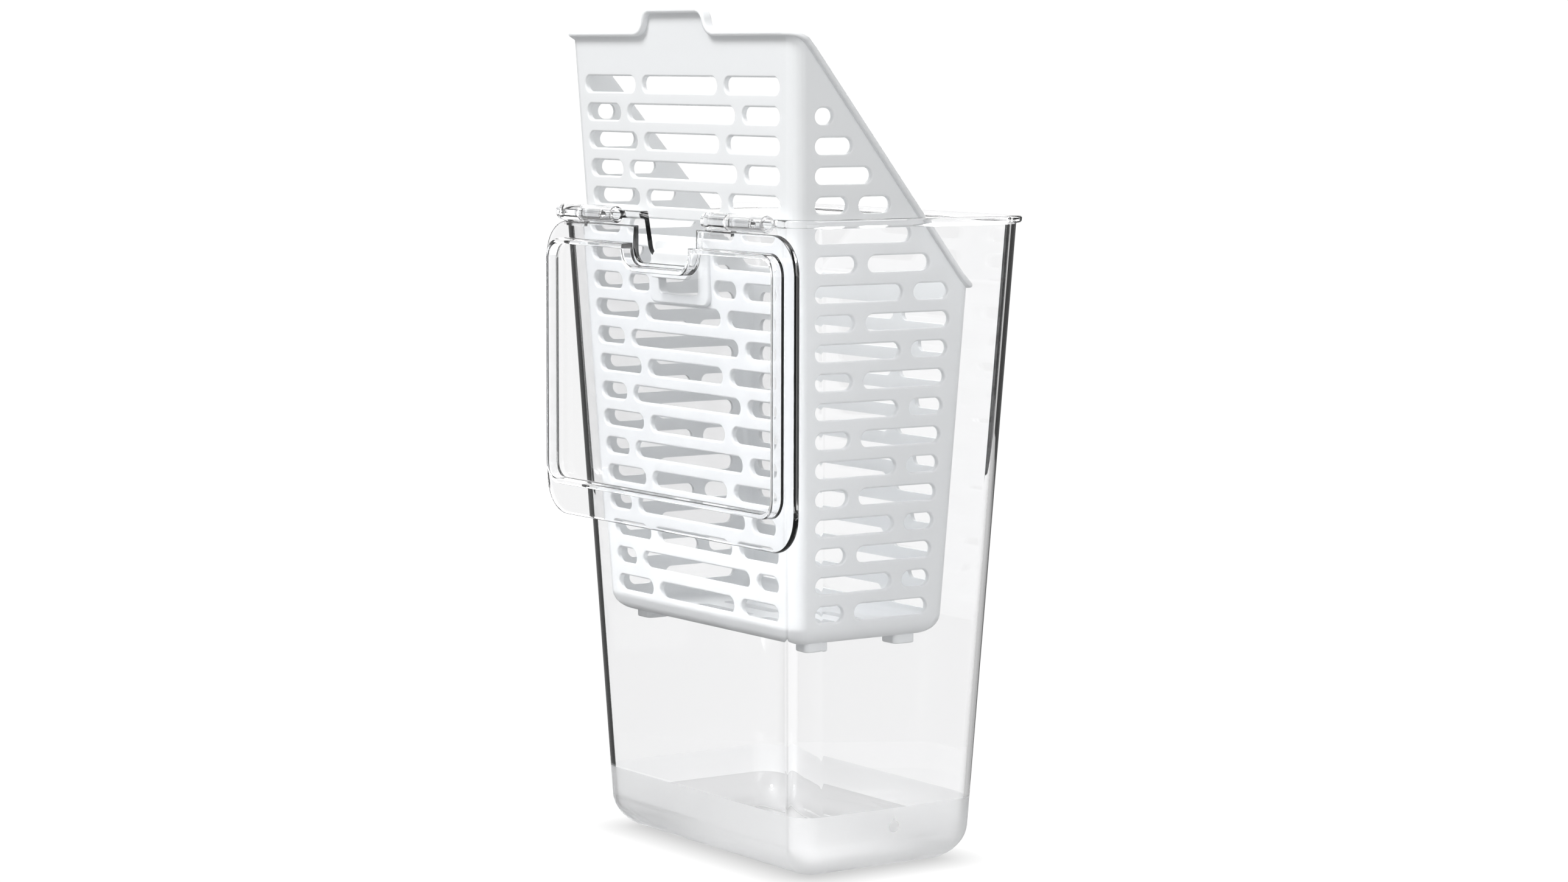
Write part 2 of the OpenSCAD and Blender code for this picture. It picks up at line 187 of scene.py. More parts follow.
def softRise(tree, value, start, end, low=0.0, high=1.0):
    # goes softly from low to high while the value goes from start to end
    limits = {"Value": value, "From Min": start, "From Max": end, "To Min": low, "To Max": high}
    node = addNode(tree, "ShaderNodeMapRange", limits, interpolation_type="SMOOTHSTEP")
    return node.outputs["Result"]


def mixedColour(tree, share, first, second):
    sockets = {"Factor": share, "A": first, "B": second}
    return addNode(tree, "ShaderNodeMix", sockets, data_type="RGBA").outputs["Result"]


def layered(tree, lowest, *layers):
    # each shader covers the ones before it where its mask is one
    for shade, mask in layers:
        lowest = addNode(tree, "ShaderNodeMixShader", {0: mask, 1: lowest, 2: shade}).outputs[0]
    return lowest


def objectParts(tree):
    place = addNode(tree, "ShaderNodeTexCoord").outputs["Object"]
    return addNode(tree, "ShaderNodeSeparateXYZ", {0: place}).outputs


# Materials

def mouldedSurfaceGroup():
    # slow unevenness of a moulded face: a roughness and a height that vary over it
    inputs = {"Grain size": 900.0, "Flow size": 30.0, "Roughness": 0.3, "Variation": 0.1}
    outputs = {"Roughness": 0.0, "Height": 0.0}
    tree, start, end = newGroup("mouldedSurface", "ShaderNodeTree", inputs, outputs)
    place = addNode(tree, "ShaderNodeTexCoord").outputs["Object"]

    def noise(size, detail):
        sockets = {"Vector": place, "Scale": start[size], "Detail": detail}
        return addNode(tree, "ShaderNodeTexNoise", sockets).outputs["Fac"]

    flow = calc(tree, "SUBTRACT", noise("Flow size", 2.0), 0.5)
    rough = calc(tree, "MULTIPLY_ADD", flow, start["Variation"], start["Roughness"])
    tree.links.new(rough, end["Roughness"])
    tree.links.new(noise("Grain size", 1.0), end["Height"])
    return tree


moulded = mouldedSurfaceGroup()
grainHeight = 0.0001  # metres, the most that a grain stands up


def letLightThrough(tree, shader, tint):
    # lamps shine through the clear walls, so what stands inside is lit
    shadow = addNode(tree, "ShaderNodeLightPath").outputs["Is Shadow Ray"]
    clear = addNode(tree, "ShaderNodeBsdfTransparent", {"Color": tint}).outputs[0]
    result = layered(tree, shader.outputs[0], (clear, shadow))
    tree.links.new(result, tree.nodes["Material Output"].inputs["Surface"])


def plastic(name, finish, tint=None, smoothed=None):
    # a moulded plastic; tint paints dark reflection and shade into its colour, and smoothed changes its
    # roughness
    material = bpy.data.materials.new(name)
    material.use_nodes = True
    tree = material.node_tree
    shader = tree.nodes["Principled BSDF"]
    surface = addNode(tree, "ShaderNodeGroup", finish["surface"], node_tree=moulded).outputs
    sockets = {**finish["shader"], "Roughness": surface["Roughness"]}
    if tint:
        sockets["Base Color"] = tint(tree, finish["shader"]["Base Color"])
    if smoothed:
        sockets["Roughness"] = smoothed(tree, surface["Roughness"])
    if "grainDepth" in finish:
        bump = {"Strength": finish["grainDepth"], "Distance": grainHeight, "Height": surface["Height"]}
        sockets["Normal"] = addNode(tree, "ShaderNodeBump", bump).outputs[0]
    fillSockets(tree, shader, sockets)
    if "shadowTint" in finish:
        letLightThrough(tree, shader, finish["shadowTint"])
    return material


clearFinish = {
    "surface": {"Roughness": 0.01, "Variation": 0.01},
    "shader": {"Base Color": (0.99, 0.99, 0.993, 1.0), "IOR": 1.47, "Transmission Weight": 1.0},
    "shadowTint": (0.985, 0.987, 0.99, 1.0),
    # the painted dark reflection that round edges and corners take into their colour
    "paintedEdgeDark": (0.01, 0.011, 0.014, 1.0),
    "edgeTurn": (0.46, 0.76),  # how far a round edge turns away while its painted dark reflection comes in
    "cornerFade": (0.118, 0.150, 0.2),  # the painted dark reflection on corners grows between two heights in metres, and its share below
    # the painted shade for the inside of the base's wide round
    "paintedFilletShade": (0.66, 0.66, 0.665, 1.0),
}


def darkEdge(tree, colour, fade=1.0):
    # painted dark reflection: clear round edges are darkened in colour where they turn away from the viewer
    facing = addNode(tree, "ShaderNodeLayerWeight").outputs["Facing"]
    share = calc(tree, "MULTIPLY", softRise(tree, facing, *clearFinish["edgeTurn"]), fade)
    return mixedColour(tree, share, colour, clearFinish["paintedEdgeDark"])


def darkCorner(tree, colour):
    # painted dark reflection on the container's upright corners, which stays light low down
    return darkEdge(tree, colour, softRise(tree, objectParts(tree)["Z"], *clearFinish["cornerFade"]))


def darkInside(tree, colour):
    # painted shade: the wide round inside the base is darkened in colour as seen from within
    behind = addNode(tree, "ShaderNodeNewGeometry").outputs["Backfacing"]
    return mixedColour(tree, behind, clearFinish["paintedFilletShade"], colour)


frostFinish = {
    "surface": {"Grain size": 2600.0, "Roughness": 0.5, "Variation": 0.25},
    "shader": {"Base Color": (0.96, 0.965, 0.97, 1.0), "IOR": 1.45, "Transmission Weight": 0.8},
    "grainDepth": 0.25,
    "shadowTint": (0.93, 0.935, 0.94, 1.0),
    "dropMiddle": (0.0012, 0.0170),  # along Y and Z on the right wall, metres
    "dropRadius": 0.0022,
    "dropTip": 0.0211,
    "dropTaper": 1.35,
    "dropRoughness": -0.28,  # added inside the drop
}
baseFinish = {
    **frostFinish,  # the round base is smoother and clearer than the band
    "surface": {"Grain size": 2600.0, "Roughness": 0.45, "Variation": 0.08},
    "shader": {**frostFinish["shader"], "Transmission Weight": 0.9},
    "grainDepth": 0.05,
}


def smoothDrop(tree, roughness):
    # smoother inside a drop on the right wall: a disc with a tapering tip above it
    work = partial(calc, tree)
    x, y, z = objectParts(tree)
    middleY, middleZ = frostFinish["dropMiddle"]
    radius = frostFinish["dropRadius"]
    across = work("ABSOLUTE", work("SUBTRACT", y, middleY))
    above = work("SUBTRACT", z, middleZ)
    reach = work("SQRT", work("ADD", work("POWER", across, 2), work("POWER", above, 2)))
    share = work("DIVIDE", above, frostFinish["dropTip"] - middleZ)
    left = work("MAXIMUM", work("SUBTRACT", 1, share), 0)
    width = work("MULTIPLY", work("POWER", left, frostFinish["dropTaper"]), radius)
    taper = work("MULTIPLY", work("LESS_THAN", across, width), work("GREATER_THAN", above, 0))
    drop = work("MAXIMUM", work("LESS_THAN", reach, radius), taper)
    onRight = work("MULTIPLY", drop, work("GREATER_THAN", x, 0))
    return work("MULTIPLY_ADD", onRight, frostFinish["dropRoughness"], roughness)


whiteFinish = {
    "surface": {"Grain size": 1500.0, "Roughness": 0.36, "Variation": 0.12},
    "shader": {"Base Color": (0.86, 0.875, 0.885, 1.0), "Subsurface Weight": 0.25,
               "Subsurface Radius": (1.0, 1.0, 1.0), "Subsurface Scale": 0.003},
    "grainDepth": 0.08,
}


clearMaterial = plastic("clearPlastic", clearFinish)
# the next three clear plastics carry painted dark reflection on round edges and corners, and painted shade
# inside the base's round
paintedEdgeMaterial = plastic("clearPaintedEdgePlastic", clearFinish, darkEdge)
paintedCornerMaterial = plastic("clearPaintedCornerPlastic", clearFinish, darkCorner)
shadedFilletMaterial = plastic("clearShadedFilletPlastic", clearFinish, darkInside)
frostMaterial = plastic("frostedPlastic", frostFinish, smoothed=smoothDrop)
baseMaterial = plastic("basePlastic", baseFinish, smoothed=smoothDrop)
whiteMaterial = plastic("whitePlastic", whiteFinish)
print("materials made")


# Container

box = {
    "height": 240.0,
    "rimWidth": 161.0,
    "rimDepth": 101.5,
    "baseWidth": 133.0,
    "baseDepth": 79.0,
    "wall": 2.0,
    "floor": 2.5,
    "corner": 10.0,
    "leastCorner": 3.0,
    "baseRadius": 13.0,
    "lipOut": 2.0,
    "lipHeight": 2.8,
    "lipRound": 1.0,
    "edgeRound": 0.5,
    "bandLow": 12.0,  # the frosted band ends where the base turns round
    "bandTop": 24.0,
    "notchTop": 42.0,
    "notchLow": 37.5,
    "notchDepth": 16.6,
    "notchRadius": 5.0,
    "notchAbove": 4.0,  # the notch is cut this far above the rim
    "notchReach": 0.7,  # and this share of the depth inwards
    "cornerSteps": 16,
    "baseSteps": 10,
}
hinge = {
    "barrelRadius": 3.15,
    "pinRadius": 1.7,
    "boreRadius": 1.75,
    "gap": 0.9,  # between a knuckle and the rim lip
    "drop": 1.55,  # axis below the rim
    "knuckle": 16.0,
    "barrel": 23.0,
    "space": 0.5,  # between a knuckle and its barrel
    "reach": 69.5,
    "pin": 15.0,
    "ease": 0.4,  # round of a barrel's ends
    "easeShare": 0.3,
    "webEnd": 0.15,  # a barrel's web is this much shorter at each end
    "webSink": 0.05,
    "webReach": 0.4,
    "sides": 48,
}
slopeX = (box["rimWidth"] - box["baseWidth"]) / 2 / box["height"]
slopeY = (box["rimDepth"] - box["baseDepth"]) / 2 / box["height"]
hingeY = -box["rimDepth"] / 2 - box["lipOut"] - hinge["gap"] - hinge["barrelRadius"]
hingeZ = box["height"] - hinge["drop"]
hingeLength = hinge["knuckle"] + hinge["space"] + hinge["barrel"]
hingeStarts = (-hinge["reach"], hinge["reach"] - hingeLength)


def wallX(z):
    # half the container's outer width at a height; wallY is half its depth
    return box["baseWidth"] / 2 + slopeX * z


def wallY(z):
    return box["baseDepth"] / 2 + slopeY * z


def turnedAlongX(profile, centre):
    # a turned solid along X from (x, radius) pairs, the ends closed
    cx, cy, cz = centre
    turns = [2 * math.pi * k / hinge["sides"] for k in range(hinge["sides"])]
    return loftedSolid([[(cx + x, cy + radius * math.cos(a), cz + radius * math.sin(a)) for a in turns]
                        for x, radius in profile])


def draftedRing(width, depth, steps, offset, z, radius):
    # a ring of a drafted wall, from the width and depth of its underside
    wide = width + 2 * (slopeX * z + offset)
    deep = depth + 2 * (slopeY * z + offset)
    return ringPoints(wide, deep, radius, z, steps)


containerRing = partial(draftedRing, box["baseWidth"], box["baseDepth"], box["cornerSteps"])


def baseRows(radius, corner, lift, inset, steps):
    # offset, height and corner radius of the rings of a rounded base, from the floor up
    rows = []
    least = min(corner, box["leastCorner"])
    for k in range(steps + 1):
        a = math.radians(90 * k / steps)
        drawn = radius * (1 - math.sin(a))
        height = lift + radius * (1 - math.cos(a))
        rows.append((-inset - drawn, height, corner - (corner - least) * drawn / radius))
    return rows


def containerRows():
    top = box["height"]
    under = top - box["lipHeight"]
    edge = box["edgeRound"]
    lip = box["lipOut"]
    r = box["lipRound"]
    wall = box["wall"]
    corner = box["corner"]
    rows = baseRows(box["baseRadius"], corner, 0, 0, box["baseSteps"])
    rows.append((0, box["bandTop"], corner))
    profile = arcPoints(edge, under - edge, edge, 180, 90, 3)
    profile += arcPoints(lip - r, under + r, r, -90, 0, 5)
    profile += arcPoints(lip - r, top - r, r, 0, 90, 5)
    profile += arcPoints(edge - wall, top - edge, edge, 90, 180, 3)
    rows += [(offset, z, corner + offset) for offset, z in profile]
    inner = baseRows(box["baseRadius"] - wall, corner - wall, box["floor"], wall, box["baseSteps"])
    return rows + inner[::-1]


def notchShape():
    # the finger notch's outline, pushed inwards through the hinge wall
    low = box["notchLow"] / 2
    half = box["notchTop"] / 2
    r = box["notchRadius"]
    rim = box["notchDepth"]
    above = rim + box["notchAbove"]
    outline = arcPoints(r - low, r, r, 180, 270, 8) + arcPoints(low - r, r, r, 270, 360, 8)
    outline += [(half, rim), (half, above), (-half, above), (-half, rim)]
    floorZ = box["height"] - rim
    place = Matrix(((1, 0, 0, 0), (0, 0, 1, -box["rimDepth"]), (0, 1, 0, floorZ), (0, 0, 0, 1)))
    depths = (0, box["rimDepth"] * box["notchReach"])
    return loftedSolid([[place @ Vector((u, v, w)) for u, v in outline] for w in depths])


def barrelShapes():
    # two barrels on the rim lip, each on a short web
    length = hinge["barrel"]
    r = hinge["barrelRadius"]
    ease = hinge["ease"]
    near = ease * hinge["easeShare"]
    end = [(0, r - ease), (near, r - near), (ease, r)]
    profile = end + [(length - x, radius) for x, radius in end[::-1]]
    webLow = box["height"] - box["lipHeight"] + hinge["webSink"]
    webTop = box["height"] - hinge["webSink"]
    webBack = -box["rimDepth"] / 2 - hinge["webReach"]
    short = hinge["webEnd"]
    shapes = []
    for start in hingeStarts:
        x = start + hinge["knuckle"] + hinge["space"]
        web = boxShape((x + short, hingeY, webLow), (x + length - short, webBack, webTop))
        shapes += [turnedAlongX(profile, (x, hingeY, hingeZ)), web]
    return shapes


def boreShapes():
    profile = [(x, hinge["boreRadius"]) for x in (0, hingeLength)]
    return [turnedAlongX(profile, (start + hinge["knuckle"], hingeY, hingeZ)) for start in hingeStarts]


def buildContainer():
    shape = bmesh.new()
    rows = containerRows()
    finishes = [clearMaterial, frostMaterial, paintedCornerMaterial, baseMaterial, shadedFilletMaterial]
    clear, frosted, dark, base, fillet = range(len(finishes))
    baseTop = next(n for n, row in enumerate(rows) if row[1] >= box["bandLow"])
    bandTop = next(n for n, row in enumerate(rows) if row[1] >= box["bandTop"])
    rimTop = max(range(len(rows)), key=lambda n: rows[n][1])
    filletTop = len(rows) - 1 - box["baseSteps"]
    perCorner = box["cornerSteps"] + 1

    def slotOf(n, i):
        # smooth base, frosted band, plain walls, painted dark reflection on the round edges at the corners
        # and the rim, and painted shade inside the base's round
        if n < bandTop:
            return base if n < baseTop else frosted
        if n >= filletTop:
            return fillet
        corner = n == bandTop and i % perCorner < box["cornerSteps"]
        return dark if corner or bandTop < n < rimTop else clear

    loftRings(shape, [containerRing(*row) for row in rows], True, slots=slotOf)
    piece = newObject("clearContainer", shape, finishes)
    combine(piece, barrelShapes(), "UNION", clearMaterial)
    combine(piece, [notchShape()] + boreShapes(), "DIFFERENCE", clearMaterial)
    return finishPiece(piece)


container = buildContainer()
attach(container, "container")
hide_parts("container")
print("container built:", len(container.data.polygons), "faces")


# Lid, drawn closed around the hinge axis and then turned to hang

lid = {
    "thickness": 2.3,
    "overhang": 1.6,
    "thumb": 6.8,
    "corner": 14.0,
    "seat": 0.2,  # between the closed lid and the rim
    "edgeGap": 0.5,  # between the plate's edge and the barrels
    "skirt": 4.5,
    "skirtWall": 2.0,
    "skirtClear": 1.2,
    "skirtSetback": 2.2,
    "skirtRadius": 8.0,
    "skirtRound": 0.7,
    "skirtRoot": 0.3,
    "skirtBeside": 1.4,  # from the notch's edge to the skirt
    "notchWidth": 41.0,
    "notchDepth": 13.5,
    "notchRadius": 5.0,
    "plateRound": 0.95,
    "webEnd": 0.1,  # a knuckle's web ends this much before the knuckle
    "webLow": 0.3,
    "webSink": 0.35,
    "webReach": 1.6,
    "cornerSteps": 14,
}
plateLow = hinge["drop"] + lid["seat"]
plateTop = plateLow + lid["thickness"]
plateStart = hinge["barrelRadius"] + lid["edgeGap"]
plateEnd = box["rimDepth"] / 2 + box["lipOut"] + lid["thumb"] - hingeY
plateWidth = box["rimWidth"] + 2 * (box["lipOut"] + lid["overhang"])
skirtZ = box["height"] - lid["skirt"]
insideX = wallX(skirtZ) - box["wall"]
insideY = wallY(skirtZ) - box["wall"]
skirtStart = -(box["rimDepth"] / 2 - box["wall"]) + lid["skirtSetback"] - hingeY
skirtEnd = insideY - lid["skirtClear"] - hingeY
skirtWidth = 2 * (insideX - lid["skirtClear"])
lidPlace = Matrix(((1, 0, 0, 0), (0, 0, 1, hingeY), (0, -1, 0, hingeZ), (0, 0, 0, 1)))


def lidRing(width, start, end, corner, beside, inset, z):
    # a rounded rectangle with the finger notch in its hinge edge, counter-clockwise from the notch
    n = lid["cornerSteps"]
    start += inset
    end -= inset
    corner -= inset
    beside += inset
    half = (width - 2 * inset) / 2 - corner
    low = start + corner
    high = end - corner
    notchHalf = lid["notchWidth"] / 2 + beside
    r = lid["notchRadius"] + beside
    notchY = plateStart + lid["notchDepth"] + beside - r
    points = [(notchHalf, start)]
    for x, y, first in ((half, low, -90), (half, high, 0), (-half, high, 90), (-half, low, 180)):
        points += arcPoints(x, y, corner, first, first + 90, n)
    points += [(-notchHalf, start)]
    points += arcPoints(r - notchHalf, notchY, r, 180, 90, n)
    points += arcPoints(notchHalf - r, notchY, r, 90, 0, n)
    return [Vector((x, y, z)) for x, y in points]


plateRing = partial(lidRing, plateWidth, plateStart, plateEnd, lid["corner"], 0.0)
skirtRing = partial(lidRing, skirtWidth, skirtStart, skirtEnd, lid["skirtRadius"], lid["skirtBeside"])


def lidPlate():
    # one closed skin: the plate inside the skirt, the skirt, the plate's edge and its top
    r = lid["plateRound"]
    low = plateLow - lid["skirt"]
    wall = lid["skirtWall"]
    tip = lid["skirtRound"]
    root = lid["skirtRoot"]
    skirt = arcPoints(wall + root, plateLow - root, root, 90, 180, 3)
    skirt += arcPoints(wall - tip, low + tip, tip, 0, -90, 4)
    skirt += arcPoints(tip, low + tip, tip, 270, 180, 4)
    skirt += arcPoints(-root, plateLow - root, root, 0, 90, 3)
    edge = arcPoints(r, plateLow + r, r, 270, 180, 4) + arcPoints(r, plateTop - r, r, 180, 90, 4)
    rings = [skirtRing(*point) for point in skirt] + [plateRing(*point) for point in edge]
    # the plate's round edge takes the painted dark reflection
    shape = loftedSolid(rings, slots=lambda n, i: int(n >= len(skirt)))
    return newObject("clearLid", shape, [clearMaterial, paintedEdgeMaterial])


def lidKnuckles():
    # knuckles with a round outer end and a pin, and the webs that join them to the plate
    r = hinge["barrelRadius"]
    pin = hinge["pinRadius"]
    ease = r / 2
    tip = pin / 2
    length = hinge["knuckle"]
    pinEnd = length + hinge["space"] + hinge["pin"]
    profile = [(ease - x, y) for y, x in arcPoints(r - ease, 0, ease, 90, 0, 6)]
    profile += [(length, r), (length, pin)]
    profile += [(pinEnd - tip + x, y) for y, x in arcPoints(pin - tip, 0, tip, 0, 90, 5)]
    shapes = []
    for start in hingeStarts:
        far = (start + length - lid["webEnd"], plateStart + lid["webReach"], r - lid["webSink"])
        web = boxShape((start + ease, 0, lid["webLow"]), far)
        shapes += [turnedAlongX(profile, (start, 0, 0)), web]
    return shapes


def buildLid():
    piece = lidPlate()
    combine(piece, lidKnuckles(), "UNION", clearMaterial)
    return finishPiece(piece, lidPlace)


clearLid = buildLid()
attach(clearLid, "lid")
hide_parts("lid")
print("lid built:", len(clearLid.data.polygons), "faces")


# Basket, measured from the middle of its underside

tray = {
    "height": 220.7,
    "backHeight": 129.5,
    "wall": 2.0,
    "corner": 5.5,
    "baseRadius": 7.1,
    "sideGap": 2.5,  # to the container when it stands on the floor
    "depthGap": 9.2,
    "flangeOut": 2.2,
    "flange": 1.9,
    "flangeRound": 0.7,
    "flangeLap": 0.01,  # the flange stops this much short of the wall's inner face
    "tabHeight": 8.4,
    "tabWidth": 42.0,
    "tabShoulder": 10.0,
    "frontRound": 3.9,  # half length of the bend from the front edge into the slope
    "backRound": 2.0,
    "footHeight": 3.3,
    "footSize": 9.5,
    "footX": 52.0,
    "footY": 19.5,
    "footRound": 0.6,
    "footCorner": 2.2,
    "footRoot": 1.0,  # how far a foot goes up into the floor
    "cornerSteps": 8,
    "baseSteps": 6,
    "sideSteps": 24,
    "weld": 0.002,  # points closer than this become one
}
slots = {
    "rows": 19,
    "pitch": 10.55,
    "firstRow": 11.2,
    "height": 7.5,  # on the outer face
    "bevel": 0.75,
    "bevelSteps": 5,
    "margin": 8.5,
    "web": 3.4,
    "middleOdd": 25.7,
    "middleEven": 36.6,
    "sideWeb": 10.4,
    "shortest": 12.0,
    "slopeMargin": 7.0,
    "floorRows": 4,
    "floorLength": 36.0,
    "floorHeight": 6.4,
    "floorBevel": 0.4,
    "sides": 26,  # points of a slot's two round ends
    "merge": 0.0005,  # points of a plate closer than this become one
}
hook = {
    "height": 137.8,
    "width": 26.0,
    "shelf": 3.1,
    "leg": 1.9,
    "reach": 7.6,
    "corner": 2.5,
    "ease": 0.4,  # of the leg's front foot
    "backEase": 0.3,
    "clearance": 0.25,
    "seatGap": 0.1,
    "hangGap": 2.1,
    "boss": 1.4,
    "bossWidth": 40.0,
    "bossAbove": 6.2,
    "bossBelow": 17.2,
    "bossCorner": 4.0,
    "bossRound": 0.8,
    "bossWeb": 0.9,
    "bossOver": 1.0,  # a row may reach this far over the boss
    "window": 13.4,
    "windowCorner": 2.0,
    "windowRound": 0.5,
    "windowInWall": 0.6,  # the wall's opening is this much larger, and the boss laps over it
    "windowLap": 1.2,
    "bossLap": 0.02,
    "leastShelf": 0.1,  # at the shelf's round ends
}
seatHeight = box["floor"] + tray["footHeight"]
seatX = wallX(seatHeight) - box["wall"]
seatY = wallY(seatHeight) - box["wall"]
trayWidth = 2 * (seatX - tray["sideGap"])
trayDepth = 2 * seatY - tray["depthGap"]
raisedZ = box["height"] - box["notchDepth"] + hook["seatGap"] - hook["height"]
raisedY = hook["hangGap"] - (wallY(raisedZ) - box["wall"]) + trayDepth / 2
bossHeight = hook["bossAbove"] + hook["bossBelow"]
bossMiddle = hook["height"] - hook["bossBelow"] + bossHeight / 2


def halfX(h):
    return trayWidth / 2 + slopeX * h


def halfY(h):
    return trayDepth / 2 + slopeY * h


slopeFront = -halfY(tray["height"]) + tray["wall"] + tray["flange"]
slopeBack = halfY(tray["backHeight"]) - tray["wall"]
rimSlope = (tray["height"] - tray["backHeight"]) / (slopeBack - slopeFront)


def rimHeight(y):
    # level front, a straight slope and a level back, with soft bends between them
    bend = tray["frontRound"]
    if y < slopeFront - bend:
        return tray["height"]
    if y < slopeFront + bend:
        return tray["height"] - rimSlope * (y - slopeFront + bend) ** 2 / (4 * bend)
    bend = tray["backRound"]
    if y < slopeBack - bend:
        return tray["height"] - rimSlope * (y - slopeFront)
    if y < slopeBack + bend:
        return tray["backHeight"] + rimSlope * (y - slopeBack - bend) ** 2 / (4 * bend)
    return tray["backHeight"]


def slopeAt(h):
    return slopeFront + (tray["height"] - h) / rimSlope


def tabOutline():
    # the right half of the front edge, from the middle: the tab and its S-shaped shoulder
    rise = tray["tabHeight"]
    half = tray["tabShoulder"] / 2
    r = (half * half + rise * rise / 4) / rise
    turn = math.degrees(math.asin(half / r))
    inner = tray["tabWidth"] / 2 - half
    outer = tray["tabWidth"] / 2 + half
    top = tray["height"]
    points = [(0.0, top + rise)]
    points += arcPoints(inner, top + rise - r, r, 90, 90 - turn, 10)
    points += arcPoints(outer, top + r, r, 270 - turn, 270, 10)[1:]
    return points


def cornerFrames(part, signY, first):
    # the rim round a right corner; its height follows the slope, so it is found step by step
    made = []
    r = tray["corner"]
    for k in range(tray["cornerSteps"] + 1):
        a = math.radians(90 * k / tray["cornerSteps"]) + first
        out = Vector((math.cos(a), math.sin(a), 0))
        h = tray["height"] if signY < 0 else tray["backHeight"]
        for _ in range(6):
            point = Vector((halfX(h) - r + r * out.x, signY * (halfY(h) - r) + r * out.y, 0))
            h = rimHeight(point.y)
        made.append((part, Vector((point.x, point.y, h)), out))
    return made


def rimFrames():
    # (part, outer point, outward, down the wall) round the rim, counter-clockwise from the front's left
    right = tabOutline()
    front = [(-x, h) for x, h in right[:0:-1]] + right
    frames = [("front", Vector((x, -halfY(h), h)), Vector((0, -1, 0))) for x, h in front]
    frontCorner = cornerFrames("frontCorner", -1, -math.pi / 2)
    backCorner = cornerFrames("backCorner", 1, 0.0)
    start = frontCorner[-1][1]
    end = backCorner[0][1]
    side = []
    for k in range(1, tray["sideSteps"]):
        y = start.y + (end.y - start.y) * k / tray["sideSteps"]
        h = rimHeight(y)
        side.append(("side", Vector((halfX(h), y, h)), Vector((1, 0, 0))))
    rightHalf = frontCorner + side + backCorner
    frames += rightHalf
    frames += [(part, Vector((-p.x, p.y, p.z)), Vector((-n.x, n.y, 0))) for part, p, n in rightHalf[::-1]]
    made = []
    for i, (part, point, out) in enumerate(frames):
        along = frames[(i + 1) % len(frames)][1] - frames[i - 1][1]
        made.append((part, point, out, along.cross(out).normalized()))
    return made


loopFrames = rimFrames()


def slottedWallTree():
    # fills an outline with slots that have soft outer edges: input points with reach >= 0 are slots
    inputs = {"Geometry": "Geometry", "Slot radius": 3.75, "Bevel": 0.9, "Thickness": 2.0,
              "End points": 26, "Bevel steps": 5, "Material": "Material"}
    tree, start, end = newGroup("slottedWall", "GeometryNodeTree", inputs, {"Geometry": "Geometry"})
    bevel = start["Bevel"]
    thickness = start["Thickness"]
    value = partial(calc, tree)

    def make(kind, sockets, **settings):
        return addNode(tree, "GeometryNode" + kind, sockets, **settings).outputs[0]

    def point(**parts):
        return addNode(tree, "ShaderNodeCombineXYZ", parts).outputs[0]

    def attribute(name):
        return make("InputNamedAttribute", {"Name": name}, data_type="FLOAT")

    def joined(*parts):
        node = addNode(tree, "GeometryNodeJoinGeometry")
        for part in parts:
            tree.links.new(part, node.inputs[0])
        return node.outputs[0]

    reach = attribute("reach")
    given = {"Geometry": start["Geometry"], "Selection": value("GREATER_THAN", reach, -0.5)}
    split = addNode(tree, "GeometryNodeSeparateGeometry", given, domain="POINT").outputs
    outline = make("MeshToCurve", {"Mesh": split["Inverted"]})

    def slotCurves(radius):
        # a circle on each slot point, its halves drawn apart by the slot's reach
        sizes = {"Resolution": start["End points"], "Radius": radius}
        circle = make("CurvePrimitiveCircle", sizes, mode="RADIUS")
        place = addNode(tree, "ShaderNodeSeparateXYZ", {0: make("InputPosition", {})}).outputs
        marks = {"Geometry": circle, "Name": "half", "Value": value("SIGN", place["X"])}
        halves = make("StoreNamedAttribute", marks, data_type="FLOAT", domain="POINT")
        spread = make("InstanceOnPoints", {"Points": split["Selection"], "Instance": halves})
        real = make("RealizeInstances", {"Geometry": spread})
        shift = point(X=value("MULTIPLY", attribute("half"), reach))
        return make("SetPosition", {"Geometry": real, "Offset": shift})

    def filled(curves):
        return make("FillCurve", {"Curve": joined(outline, curves)})

    def swept(curves, profile):
        return make("CurveToMesh", {"Curve": curves, "Profile Curve": profile})

    outer = slotCurves(start["Slot radius"])
    inner = slotCurves(value("SUBTRACT", start["Slot radius"], bevel))

    # the soft edge: a quarter circle from the outer face into the slot, then the bore
    quarter = {"Resolution": value("ADD", start["Bevel steps"], 1), "Radius": bevel,
               "Start Angle": math.radians(270), "Sweep Angle": math.radians(-90)}
    arc = make("CurveArc", quarter, mode="RADIUS")
    soft = make("Transform", {"Geometry": arc, "Translation": point(Y=bevel)})
    edge = value("MULTIPLY", bevel, -1)
    ends = {"Start": point(X=edge, Y=bevel), "End": point(X=edge, Y=thickness)}
    bore = make("CurvePrimitiveLine", ends)

    behind = point(Z=value("MULTIPLY", thickness, -1))
    moved = make("Transform", {"Geometry": filled(inner), "Translation": behind})
    back = make("FlipFaces", {"Mesh": moved})
    whole = joined(back, swept(outer, bore), swept(outer, soft), filled(outer))
    real = make("RealizeInstances", {"Geometry": whole})
    merged = make("MergeByDistance", {"Geometry": real, "Distance": slots["merge"]})
    painted = make("SetMaterial", {"Geometry": merged, "Material": start["Material"]})
    tree.links.new(painted, end["Geometry"])
    return tree


wallTree = slottedWallTree()


